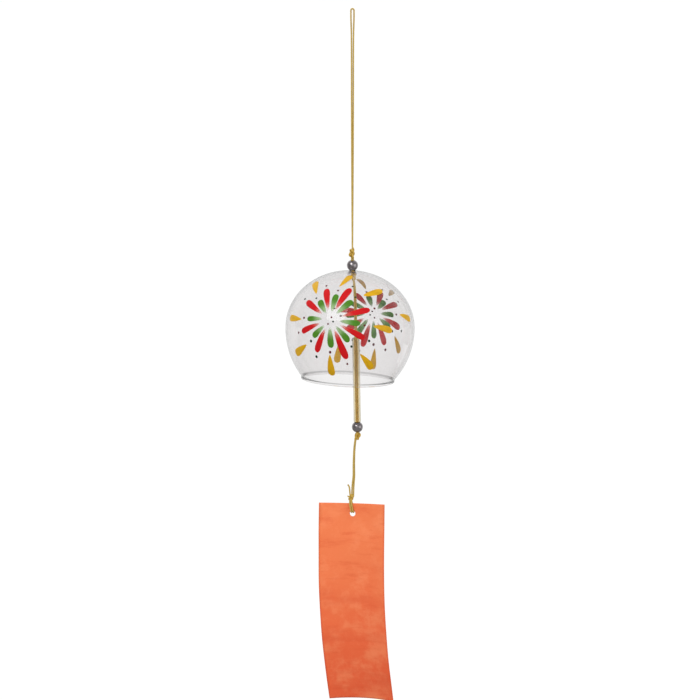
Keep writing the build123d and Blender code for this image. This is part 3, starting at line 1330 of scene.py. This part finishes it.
@dataclass
class Bell:
    """The blown glass bell and its painted bursts."""

    line: Line
    shop: Workshop
    radius: float = 40.0 * MM
    crown: float = 35.5 * MM
    skirt: float = 32.8 * MM
    skirt_curve: float = 45.0 * MM
    wall: float = 1.2 * MM
    crown_wall: float = 1.5 * MM
    hole: float = 1.9 * MM
    hole_edge: float = 0.35 * MM
    lip_inset: float = 0.328 * MM
    lip: float = 2.2 * MM
    lip_wall: float = 1.6 * MM
    lip_edge: float = 0.5 * MM
    wave_depth: float = 0.0016
    sides: int = 192
    crown_steps: int = 64
    skirt_steps: int = 40
    lip_steps: int = 8
    hole_steps: int = 5
    red_full_at: float = 0.4
    green_full_at: float = 0.7
    bursts: tuple[Burst, ...] = (
        Burst(
            -18.7, 15.1,
            (109, 73, 25, -25, -64, -112, -155, 149),
            (24.5, 26.5, 25.5, 24.7, 26, 22.5, 22.4, 23.7),
            (89, 54, -2, -46, -86, -130, -180, 129),
            (18.9, 19, 18.6, 18.3, 17.5, 16.4, 16.2, 16.7),
            11,
        ),
        Burst(
            158.6, 8.2,
            (148, 114, 57, 8, -35, -75, -119, -162), (24.5, 23, 20, 22.5, 21, 21.6, 21.5, 23.5),
            (173, 131, 83, 31, -8, -54, -95, -146), (16.2, 15.5, 15, 16, 18, 18, 15.8, 16),
            23,
        ),
    )
    drops: tuple[Mark, ...] = (
        Mark(-44.6, 39.9, 133, 0, 15.2, 4.9, 0.3), Mark(-18.6, 51.7, 69, 0, 14.6, 4.6, 2.2, 0.15),
        Mark(14, 42.2, 19, 0, 14.8, 4.6, 1.6, 0.5), Mark(-50, 11.7, -176, 0, 13.9, 4.9, -0.4),
        Mark(-41.5, -9.7, -146, 0, 13.9, 4.8, -0.6), Mark(-17.7, -15.6, -90, 0, 13.3, 4.8, 0.3),
        Mark(9.6, -13.6, -42, 0, 12.8, 4.4, -1.2), Mark(52.1, 20.5, -17, 0, 12.6, 4.8, -0.6),
        Mark(20.6, 10.6, -10, 0, 13.6, 4.7, -1.2, 0.35), Mark(163.3, 38.5, 88, 0, 13.2, 4.0, -2.2),
        Mark(-170.4, -20, -82, 0, 11.5, 4.6, 0.4), Mark(153.3, -22.2, -94, 0, 12.6, 4.4, -1.6),
        Mark(132.7, -10.1, -134, 0, 12.6, 4.4, -0.6), Mark(134.2, 32.8, 139, 0, 12.2, 4.4, 0.4),
    )

    def frame(self) -> Matrix:
        """Where the bell hangs: tilted about the knot under its crown.

        Returns:
            The frame that its parts are made in.
        """
        return (
            Matrix.Translation((0, 0, self.line.rock))
            @ Matrix.Rotation(math.radians(self.line.tilt), 4, "Y")
            @ Matrix.Translation((0, 0, self.line.rim - self.line.rock))
        )

    def profile(self) -> Profile:
        """The glass's closed section, with the top of its rim at zero.

        Returns:
            Points (out, up) round the section.
        """
        equator = -self.crown
        mouth = equator - self.skirt
        lip_top = mouth + self.lip
        outer_lip = self.radius * math.sqrt(1 - ((equator - lip_top) / self.skirt_curve) ** 2)
        lip = outer_lip - self.lip_inset
        inner = self.radius - self.wall
        inner_crown = self.crown - self.crown_wall
        inner_lip = lip - self.lip_wall
        inner_drop = (self.skirt - self.lip / 2) / math.sqrt(1 - (inner_lip / inner) ** 2)
        edge, soft = self.hole_edge, self.lip_edge
        brim = self.hole + edge
        low = mouth + soft

        def angle(r: float, across: float) -> float:
            """The angle at which an ellipse is this far out."""
            return math.degrees(math.acos(r / across))

        outer_top, inner_top = angle(brim, self.radius), angle(brim, inner)
        top_out = self.crown * math.sin(math.radians(outer_top)) + equator
        top_in = inner_crown * math.sin(math.radians(inner_top)) + equator
        outer_foot, inner_foot = -angle(outer_lip, self.radius), -angle(inner_lip, inner)
        centre, crown_steps, skirt_steps = (0.0, equator), self.crown_steps, self.skirt_steps
        return [
            *arc_points(self.radius, self.crown, centre, outer_top, 0, crown_steps),
            *arc_points(self.radius, self.skirt_curve, centre, 0, outer_foot, skirt_steps)[1:],
            (lip + self.lip_inset / 3, lip_top - self.lip / 6),
            (lip, lip_top - self.lip / 3),
            *arc_points(soft, soft, (lip - soft, low), 0, -90, self.lip_steps),
            *arc_points(soft, soft, (inner_lip + soft, low), -90, -180, self.lip_steps),
            *arc_points(inner, inner_drop, centre, inner_foot, 0, skirt_steps),
            *arc_points(inner, inner_crown, centre, 0, inner_top, crown_steps)[1:],
            *arc_points(edge, edge, (brim, top_in + edge), -90, -180, self.hole_steps)[1:],
            *arc_points(edge, edge, (brim, top_out - edge), 180, 90, self.hole_steps)[:-1],
        ]

    def paint(self, name: str, marks: Sequence[Mark], finish: Finish) -> None:
        """Lays brush marks on the glass and puts them on the bell.

        Args:
            name: the piece's name.
            marks: its marks.
            finish: its paint.
        """
        chance = random.Random(len(marks))
        facts = {
            key: [math.radians(getattr(m, key)) for m in marks] for key in ("lon", "lat", "turn")
        }
        for key in ("start", "length", "width", "bend"):
            facts[key] = [getattr(m, key) * MM for m in marks]
        facts["point"] = [m.point for m in marks]
        facts["tone"] = [chance.random() for _ in marks]
        source = points_object(f"{name}_points", [(0, 0, 0)] * len(marks), facts)
        piece = self.shop.brush.shape(
            source, name, Finish=finish, Bell_radius=self.radius, Crown_height=self.crown,
            Skirt_height=self.skirt_curve,
        )
        piece.data.transform(self.frame())
        face_out(piece)
        put(piece, "bell", "bell_glass")

    def build(self, glass: Finish) -> None:
        """Turns the glass and paints it.

        Args:
            glass: the glass's material.
        """
        piece = self.shop.turned(
            "blown_bell", self.profile(), self.frame(), glass, self.sides,
            Wave_depth=self.wave_depth,
        )
        put(piece, "bell", "bell_glass", "glass_bell")
        for pigment, full_at in (
            (Pigment.RED, self.red_full_at), (Pigment.GREEN, self.green_full_at)
        ):
            finish = Enamel(pigment, fading=True, full_at=full_at).material()
            for burst, side in zip(self.bursts, ("front", "back")):
                name = f"{pigment.name.lower()}_petals_{side}"
                self.paint(name, burst.petals(pigment), finish)
        self.paint("yellow_drops", self.drops, Enamel(Pigment.YELLOW).material())
        for pigment in (Pigment.WINE, Pigment.PINE):
            marks = [mark for burst in self.bursts for mark in burst.dots(pigment)]
            self.paint(f"{pigment.name.lower()}_dots", marks, Enamel(pigment).material())


@dataclass
class Striker:
    """The clear glass tube on the clapper's cord."""

    line: Line
    length: float = 52.6 * MM
    radius: float = 2.25 * MM
    bore: float = 1.5 * MM
    edge: float = 0.25 * MM
    bead_radius: float = 3.45 * MM
    gap: float = 0.1 * MM
    sides: int = 64
    edge_steps: int = 6

    def build(self, shop: Workshop, glass: Finish) -> None:
        """Turns the tube with fire-polished ends.

        Args:
            shop: the geometry trees.
            glass: the tube's material.
        """
        rise = math.sqrt(self.bead_radius**2 - self.bore**2) + self.gap
        soft = self.edge
        out, ins, top = self.radius - soft, self.bore + soft, self.length - soft
        profile = [
            spot
            for middle, start in (
                ((out, soft), -90), ((out, top), 0), ((ins, top), 90), ((ins, soft), 180)
            )
            for spot in arc_points(soft, soft, middle, start, start + 90, self.edge_steps)
        ]
        frame = self.line.along_clapper(self.line.lower_bead + rise)
        piece = shop.turned("striker_tube", profile, frame, glass, self.sides)
        put(piece, "striker", "tube_glass", "clapper_tube")


@dataclass
class PaperStrip:
    """The hanging paper, the loop through its hole and the cord's cut ends.

    The tables give the paper's slopes in degrees at shares of its length, and
    the cut ends are in millimetres.
    """

    line: Line
    width: float = 42.6 * MM
    length: float = 129.0 * MM
    thickness: float = 0.35 * MM
    hole_radius: float = 1.8 * MM
    hole_drop: float = 6.4 * MM
    curl: float = 82.0 * MM
    stations: tuple[float, ...] = (0.0, 0.12, 0.30, 0.48, 0.66, 0.83, 1.0)
    pitch: tuple[float, ...] = (-6.0, -6.0, -2.5, 3.0, 9.5, 15.5, 20.0)
    yaw: tuple[float, ...] = (-14.0, -14.0, -14.5, -15.0, -15.5, -16.0, -16.0)
    roll: tuple[float, ...] = (1.0, 0.8, 0.8, 1.6, 2.2, 2.0, 1.6)
    steps: int = 60
    columns: int = 36
    rings: int = 10
    side_rows: int = 10
    crowding: float = 1.6
    row: float = 1.2 * MM
    foot_to_hole: float = 7.6 * MM
    foot_to_hole_side: float = 1.35 * MM
    half_gap: float = 1.3 * MM
    spread: float = 0.62 * MM
    seat_gap: float = 0.08 * MM
    sag: float = 0.35 * MM
    head_half: float = 1.0 * MM
    head_drop: float = 0.4 * MM
    inside_half: float = 0.3 * MM
    inside_rise: float = 1.5 * MM
    ripple: float = 0.16 * MM
    end_side: float = -1.55
    long_end: tuple[tuple[float, float], ...] = (
        (-0.1, 0.4), (-0.28, 3.6), (-0.6, 5.4), (-1.5, 6.3),
    )
    side_end: tuple[Place, ...] = ((-1.5, -0.2, 0.9), (-2.6, -0.1, 1.1))

    def foot(self) -> Vector:
        """The foot of the knot that the loop hangs from.

        Returns:
            Its place.
        """
        line = self.line
        back = line.strip_knot_height * math.tan(math.radians(line.strip_knot_lean))
        return Vector((line.strip_knot_x - back, 0, line.strip_knot - line.strip_knot_height))

    def at(self, table: Sequence[float], share: float) -> float:
        """A value from a table of stations, in radians.

        Args:
            table: degrees at the stations.
            share: a share of the paper's length.

        Returns:
            The value there.
        """
        for s0, s1, v0, v1 in zip(self.stations, self.stations[1:], table, table[1:]):
            if share <= s1:
                return math.radians(v0 + (v1 - v0) * (share - s0) / (s1 - s0))
        return math.radians(table[-1])

    def directions(self, share: float) -> tuple[Vector, Vector]:
        """The paper's directions down its length and across it.

        Args:
            share: a share of the paper's length.

        Returns:
            Both directions there.
        """
        pitch, yaw, roll = (self.at(t, share) for t in (self.pitch, self.yaw, self.roll))
        lie = math.sin(pitch)
        down = Vector((-math.sin(yaw) * lie, math.cos(yaw) * lie, -math.cos(pitch)))
        across = Vector((math.cos(yaw), math.sin(yaw), 0))
        return (
            down * math.cos(roll) + across * math.sin(roll),
            across * math.cos(roll) - down * math.sin(roll),
        )

    def on_line(self, spots: Sequence[Vector], share: float) -> Vector:
        """The place at a share of the middle line.

        Args:
            spots: the middle line's places.
            share: a share of its length.

        Returns:
            The place.
        """
        here = share * self.steps
        low = min(int(here), self.steps - 1)
        return spots[low].lerp(spots[low + 1], here - low)

    def middle_line(self) -> list[Vector]:
        """Places down the middle of the paper.

        Returns:
            The places, from the top edge.
        """
        step = self.length / self.steps
        spots = [Vector((0, 0, 0))]
        for i in range(self.steps):
            spots.append(spots[-1] + self.directions((i + 0.5) / self.steps)[0] * step)
        share = self.hole_drop / self.length
        down, across = self.directions(share)
        place = self.foot() + down * self.foot_to_hole + across * self.foot_to_hole_side
        hole = self.on_line(spots, share)
        return [spot - hole + place for spot in spots]

    def place(self, middle: Sequence[Vector], u: float, v: float) -> Vector:
        """Where a point of the flat paper hangs.

        Args:
            middle: the middle line's places.
            u: its distance to the right of the middle.
            v: its distance from the top edge.

        Returns:
            The place.
        """
        share = min(max(v / self.length, 0.0), 1.0)
        down, across = self.directions(share)
        back = (-down).cross(across)
        angle = u / self.curl
        cross = math.sin(u * 150 + v * 61 + 1.0) * math.sin(v * 88 + 0.6)
        wave = self.ripple * (cross + 0.6 * math.sin(v * 190 - u * 75))
        near_hole = min(1.0, math.hypot(u, v - self.hole_drop) / (4 * self.hole_radius))
        depth = self.curl * (math.cos(angle) - 1) + wave * near_hole
        spot = self.on_line(middle, share)
        return spot + across * (self.curl * math.sin(angle)) + back * depth

    def flat_faces(self) -> tuple[Profile, list[tuple[int, ...]]]:
        """The paper's flat mesh: rings round the hole in its head, then rows.

        Returns:
            Its points (to the right, down) and its faces.
        """
        columns, side, width, half = self.columns, self.side_rows, self.width, self.width / 2
        head = 2 * self.hole_drop
        border = [(-half + width * i / columns, 0.0) for i in range(columns)]
        border += [(half, head * i / side) for i in range(side)]
        border += [(half - width * i / columns, head) for i in range(columns)]
        border += [(-half, head - head * i / side) for i in range(side)]
        points: Profile = []
        for ring in range(self.rings + 1):
            share = (ring / self.rings) ** self.crowding
            for x, y in border:
                angle = math.atan2(y - self.hole_drop, x)
                ix = self.hole_radius * math.cos(angle)
                iy = self.hole_drop + self.hole_radius * math.sin(angle)
                points.append((ix + (x - ix) * share, iy + (y - iy) * share))
        faces: list[tuple[int, ...]] = []
        count = len(border)
        for ring in range(self.rings):
            for i in range(count):
                a, b = ring * count + i, ring * count + (i + 1) % count
                faces.append((a, b, b + count, a + count))
        seam_end = self.rings * count + 2 * columns + side
        above = [seam_end - i for i in range(columns + 1)]
        rows = round((self.length - head) / self.row)
        for row in range(1, rows + 1):
            y = head + (self.length - head) * row / rows
            here = list(range(len(points), len(points) + columns + 1))
            points += [(-half + width * i / columns, y) for i in range(columns + 1)]
            for i in range(columns):
                faces.append((above[i], above[i + 1], here[i + 1], here[i]))
            above = here
        return points, faces

    def sheet(self, finish: Finish) -> None:
        """Makes the hanging sheet with its own flat map.

        Args:
            finish: the paper's material.
        """
        middle = self.middle_line()
        points, faces = self.flat_faces()
        mesh = bpy.data.meshes.new("dyed_strip")
        mesh.from_pydata([self.place(middle, u, v) for u, v in points], [], faces)
        chart = mesh.uv_layers.new(name="flat")
        for loop in mesh.loops:
            chart.data[loop.index].uv = points[loop.vertex_index]
        mesh.materials.append(finish)
        work = bmesh.new()
        work.from_mesh(mesh)
        bmesh.ops.recalc_face_normals(work, faces=work.faces)
        for face in work.faces:
            face.smooth = True
        work.to_mesh(mesh)
        work.free()
        piece = new_object("dyed_strip", mesh)
        body = piece.modifiers.new("thickness", "SOLIDIFY")
        body.thickness = self.thickness
        body.offset = 0.0
        put(piece, "strip", "strip_paper", "paper_strip")

    def loop(self, cord: CordWork) -> None:
        """Both strands in front, through the hole and up behind the paper.

        Args:
            cord: what makes the strands.
        """
        share = self.hole_drop / self.length
        down, across = self.directions(share)
        up = -down
        back = up.cross(across)
        hole = self.on_line(self.middle_line(), share)
        free = self.hole_radius - self.line.cord / 2 - self.seat_gap
        seat = math.sqrt(free ** 2 - self.spread**2)
        strands = []
        for side in (-1, 1):
            through = hole + across * (side * self.spread) + up * seat
            head = self.foot() + across * (side * self.line.pair_half) - up * self.head_drop
            inside = self.foot() + across * (side * self.inside_half) + up * self.inside_rise
            low = through - up * self.sag
            route = [
                inside - back * self.inside_half, head - back * self.head_half,
                low - back * self.half_gap, low + back * self.half_gap,
                head + back * self.head_half, inside + back * self.inside_half,
            ]
            strands.append(cord.strand(f"hole_{side}", route)[0])
        put(joined("hole_loop", strands), "strip_tie", "cord", "strip_loop")

    def ends(self, cord: CordWork) -> None:
        """The two cut ends: one beside the cord, one out to the left.

        Args:
            cord: what makes the strands.
        """
        knot_x, head, foot = self.line.strip_knot_x, self.line.strip_knot, self.foot()
        middle = Vector(((knot_x + foot.x) / 2, 0, (head + foot.z) / 2))
        x = knot_x + self.end_side * MM
        routes = (
            [middle + Vector(mm(-0.6, 0, 0))]
            + [(x + dx * MM, 0, head + dz * MM) for dx, dz in self.long_end],
            [middle] + [middle + Vector(mm(*spot)) for spot in self.side_end],
        )
        pieces = [cord.strand(f"end_{n}", route)[0] for n, route in enumerate(routes)]
        put(joined("cut_ends", pieces), "strip_tie", "cord", "cord_tails")


# ----------------------------------------------------------------- the studio


def facing(place: Sequence[float], aim: Sequence[float]) -> Matrix:
    """The frame of a lamp or camera that stands at a place and looks at an aim."""
    towards = Vector(aim) - Vector(place)
    return Matrix.Translation(place) @ towards.to_track_quat("-Z", "Y").to_matrix().to_4x4()


@dataclass
class Studio:
    """Floor, white surroundings, soft lamps and the camera.

    A span gives where a smooth step starts and ends. A lamp has its name, its
    place, the length of its side and its watts.
    """

    floor_height: float = -0.72
    floor_size: float = 60.0
    floor_tone: Colour = rgb(0.5, 0.5, 0.5)
    floor_glow: float = 1.16
    floor_share: float = 0.8
    floor_mirrored: float = 0.74
    room_dark: float = 0.08
    room_above: float = 0.34
    room_behind: float = 0.48
    room_before: float = 0.42
    dim_sides: float = 0.85
    near_span: tuple[float, float] = (0.7, 2.2)
    backdrop_span: tuple[float, float] = (0.2, 1.4)
    above_span: tuple[float, float] = (-0.9, 1.0)
    behind_span: tuple[float, float] = (0.1, 0.7)
    before_span: tuple[float, float] = (0.72, 0.92)
    level_span: tuple[float, float] = (0.3, 0.85)
    lamps: tuple[tuple[str, Place, float, float], ...] = (
        ("key_lamp", (-0.75, -1.35, 1.15), 1.15, 11.5),
        ("fill_lamp", (1.5, -0.9, -0.2), 1.7, 7.5),
        ("low_lamp", (0.75, 0.5, -0.62), 0.3, 0.22),
    )
    distance: float = 1.8
    elevation: float = 8.2
    lens: float = 149.63
    aim: Place = mm(-1.5, 0, -209.25)

    def floor(self) -> None:
        """A plain pale floor that keeps the object's shadow."""
        half = self.floor_size / 2
        mesh = bpy.data.meshes.new("floor")
        corners = [(-half, -half), (half, -half), (half, half), (-half, half)]
        mesh.from_pydata([(x, y, self.floor_height) for x, y in corners], [], [(0, 1, 2, 3)])
        floor = new_object("floor", mesh)
        material = bpy.data.materials.new("pale_floor")
        graph = cleared(material)
        plain = graph.out("ShaderNodeBsdfDiffuse", {"Color": self.floor_tone})
        glow = graph.out("ShaderNodeEmission", {"Color": WHITE, "Strength": self.floor_glow})
        x, y, _ = graph.parts(graph.node("ShaderNodeNewGeometry").outputs["Position"])
        away = (x * x + y * y).root().ramp(*self.near_span)
        through = graph.ray("Is Transmission Ray") * (1 - (1 - away) * self.dim_sides)
        mirrored = graph.ray("Glossy Depth") > 0.5
        seen = graph.ray("Is Camera Ray").at_least(through * (1 - mirrored))
        seen = seen.at_least(mirrored * y.ramp(*self.backdrop_span) * self.floor_mirrored)
        both = graph.out("ShaderNodeMixShader", {0: seen * self.floor_share, 1: plain, 2: glow})
        graph.node("ShaderNodeOutputMaterial", {"Surface": both})
        mesh.materials.append(material)
        floor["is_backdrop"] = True

    def surroundings(self) -> None:
        """White where they are seen.

        Mirrored rays see a soft room that is bright behind the bell and before
        it, and darker at its sides.
        """
        world = bpy.data.worlds.new("white_room")
        bpy.context.scene.world = world
        graph = cleared(world)
        through = graph.ray("Is Transmission Ray")
        mirrored = graph.ray("Glossy Depth") > 0.5
        _, depth, height = graph.parts(graph.node("ShaderNodeTexCoord").outputs["Generated"])
        room = (
            self.room_dark
            + height.ramp(*self.above_span) * self.room_above
            + depth.ramp(*self.behind_span) * self.room_behind
            + (depth * -1.0).ramp(*self.before_span) * self.room_before
        )
        reflected = 1.0 + (room - 1.0) * mirrored
        shown = 1 - height.size().ramp(*self.level_span) * self.dim_sides * through
        seen = graph.ray("Is Camera Ray").at_least(through) * (1 - mirrored)
        strength = reflected + (shown - reflected) * seen
        back = graph.out("ShaderNodeBackground", {"Color": WHITE, "Strength": strength})
        graph.node("ShaderNodeOutputWorld", {"Surface": back})

    def lamp(self, name: str, place: Place, size: float, power: float) -> None:
        """A square lamp that faces the bell.

        Args:
            name: its name.
            place: where it stands.
            size: the length of its side.
            power: its watts.
        """
        light = bpy.data.lights.new(name, "AREA")
        light.size = size
        light.energy = power
        holder = new_object(name, light)
        holder.visible_camera = False
        holder.visible_transmission = False
        holder.matrix_world = facing(place, self.aim)

    def camera(self) -> None:
        """The photograph's viewpoint."""
        data = bpy.data.cameras.new("camera")
        data.sensor_width = 36.0
        data.lens = self.lens
        data.clip_start = 0.05
        data.clip_end = 100.0
        holder = new_object("camera", data)
        tilt = math.radians(self.elevation)
        place = Vector(self.aim) + Vector((0, -math.cos(tilt), math.sin(tilt))) * self.distance
        holder.matrix_world = facing(place, self.aim)
        bpy.context.scene.camera = holder

    def build(self) -> None:
        """Sets up the whole studio."""
        self.floor()
        self.surroundings()
        for lamp in self.lamps:
            self.lamp(*lamp)
        self.camera()
        bpy.context.scene.view_settings.view_transform = "Standard"


# ----------------------------------------------------------------------- main


def knots(line: Line) -> tuple[Knot, ...]:
    """The four knots of the cord, from the top down.

    Args:
        line: the hanging line's levels.

    Returns:
        The knots.
    """
    under_bead = line.on_clapper(line.lower_knot).x
    return (
        Knot("knot_over_bead", "hanger", "top_knot", 0.0, line.top_knot, 5.4 * MM, 0.0, 165.0),
        Knot("knot_in_crown", "neck", "inner_knot", 0.0, line.inner_knot, 4.4 * MM, -9.0, 15.0),
        Knot(
            "knot_under_bead", "clapper", "lower_knot", under_bead, line.lower_knot,
            5.0 * MM, 13.0, 20.0, shift=0.03, end=(-0.03, 0.0, 0.53),
        ),
        Knot(
            "knot_over_paper", "strip_tie", "strip_knot", line.strip_knot_x, line.strip_knot,
            line.strip_knot_height, line.strip_knot_lean, 160.0,
            strand=0.85 * MM, spread=0.34 * MM,
        ),
    )


def corners(box: Iterable[Vector]) -> list[list[float]]:
    """A box's corners as plain lists."""
    return [list(corner) for corner in box]


def main() -> None:
    """Builds and dresses the whole wind bell."""
    logging.basicConfig(level=logging.INFO, format="%(name)s: %(message)s")
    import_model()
    cad = corners(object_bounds())
    line, shop = Line(), Workshop()
    gold = GoldThread().material()
    # The knots take a lighter copy of the cord's gold, though they are the same cord: painted
    # light.
    lit_gold_copy = GoldThread("gold_knot_lit", rgb(0.74, 0.48, 0.09), rgb(0.54, 0.33, 0.04)).material()
    silver = DarkSilver().material()
    Studio().build()
    cord = CordWork(line, shop, gold)
    cord.build()
    for knot in knots(line):
        knot.build(shop, lit_gold_copy)
    over_glass, under_tube = Matrix.Translation(line.top_bead), line.along_clapper(line.lower_bead)
    Bead("bead_over_glass", "bead_above", "top_bead", over_glass).build(shop, silver)
    Bead("bead_under_tube", "bead_below", "lower_bead", under_tube).build(shop, silver)
    Bell(line, shop).build(ClearGlass("bell_glass").material())
    # The tube's gold tint is painted reflection: it stands for the gold cord seen through the
    # clear tube and mirrored in it.
    tube_glass = ClearGlass(
        "tube_glass", rgb(0.90, 0.82, 0.62), rgb(0.97, 0.93, 0.86), waves=300.0, relief=0.01 * MM
    )
    Striker(line).build(shop, tube_glass.material())
    paper = PaperStrip(line)
    paper.loop(cord)
    paper.ends(cord)
    paper.sheet(DyedPaper().material())
    {"cad": cad, "visual": corners(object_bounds())}


if __name__ == "__main__":
    main()
